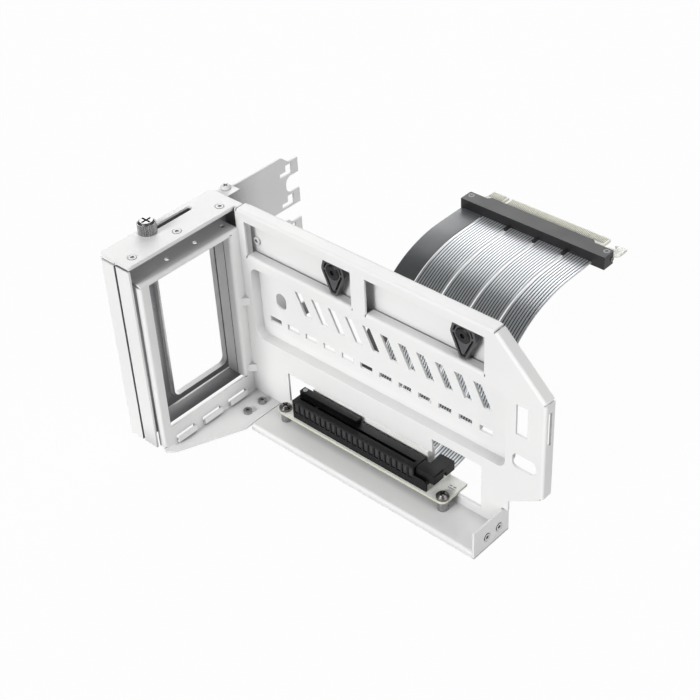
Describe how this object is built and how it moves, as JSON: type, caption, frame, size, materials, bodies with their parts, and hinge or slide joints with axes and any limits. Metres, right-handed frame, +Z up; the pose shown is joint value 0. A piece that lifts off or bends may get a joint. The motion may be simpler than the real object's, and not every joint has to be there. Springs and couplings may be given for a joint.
{
  "type": "vertical graphics card mount",
  "caption": "White folded steel mount that holds a graphics card upright in a computer case, with a sliding bracket, a card slot and a flat riser cable.",
  "frame": {"origin": "middle of the screw row on the case flange, on the face that lies on the case", "axes": "+X along the back plate away from the case, +Y towards the motherboard side, +Z up"},
  "size_m": [0.2452, 0.23, 0.1361],
  "materials": {
    "white_steel": "fine white powder coat",
    "white_screw": "white paint",
    "plain_steel": "plain plated steel",
    "dark_steel": "dark nickel, knurled",
    "clip_plastic": "moulded, satin",
    "slot_plastic": "moulded, satin",
    "plug_plastic": "moulded, matt",
    "white_board": "white solder mask",
    "gold_contact": "gold plating",
    "grey_ribbon": "ribbed jacket"
  },
  "bodies": {
    "fixed_bracket": {"case_bracket": "white_steel", "screw_angle": "white_steel", "case_nut": "plain_steel", "stop_screw": "white_screw", "corner_screw": "white_screw"},
    "clamp": {"thumb_screw": "dark_steel"},
    "carriage": {"top_plate": "white_steel", "top_plate_screws": "white_screw", "slide_plate": "white_steel", "io_frame": "white_steel", "back_plate": "white_steel", "rear_rail": "white_steel", "rail_rivets": "white_screw", "clip_left": "clip_plastic", "clip_right": "clip_plastic", "clip_knob_left": "clip_plastic", "clip_knob_right": "clip_plastic", "base_plate": "white_steel", "base_end_plate": "white_steel", "base_end_screws": "white_screw", "foot_studs": "plain_steel", "board_standoffs": "plain_steel", "board_screws": "plain_steel", "connector_board": "white_board", "slot_housing": "slot_plastic", "slot_contacts": "gold_contact", "ribbon_clamp": "white_board", "ribbon_plain": "grey_ribbon", "ribbon_1": "grey_ribbon", "ribbon_2": "grey_ribbon", "ribbon_3": "grey_ribbon", "ribbon_4": "grey_ribbon", "plug_cover": "plug_plastic", "plug_base": "plug_plastic", "plug_screws": "plain_steel", "plug_board": "white_board", "plug_fingers": "gold_contact"},
    "latch": {"slot_latch": "slot_plastic"}
  },
  "joints": [
    {"name": "carriage_slide", "type": "slide", "parent": "fixed_bracket", "child": "carriage", "axis": [0, -1, 0], "range_m": [0, 0.029]},
    {"name": "thumb_turn", "type": "hinge", "parent": "fixed_bracket", "child": "clamp", "pos_m": [0.0116, -0.001, 0.0657], "axis": [0, 0, 1], "range_deg": [0, 720]},
    {"name": "latch_turn", "type": "hinge", "parent": "carriage", "child": "latch", "pos_m": [0.1685, 0.03835, -0.0461], "axis": [0, 1, 0], "range_deg": [0, 20]}
  ]
}
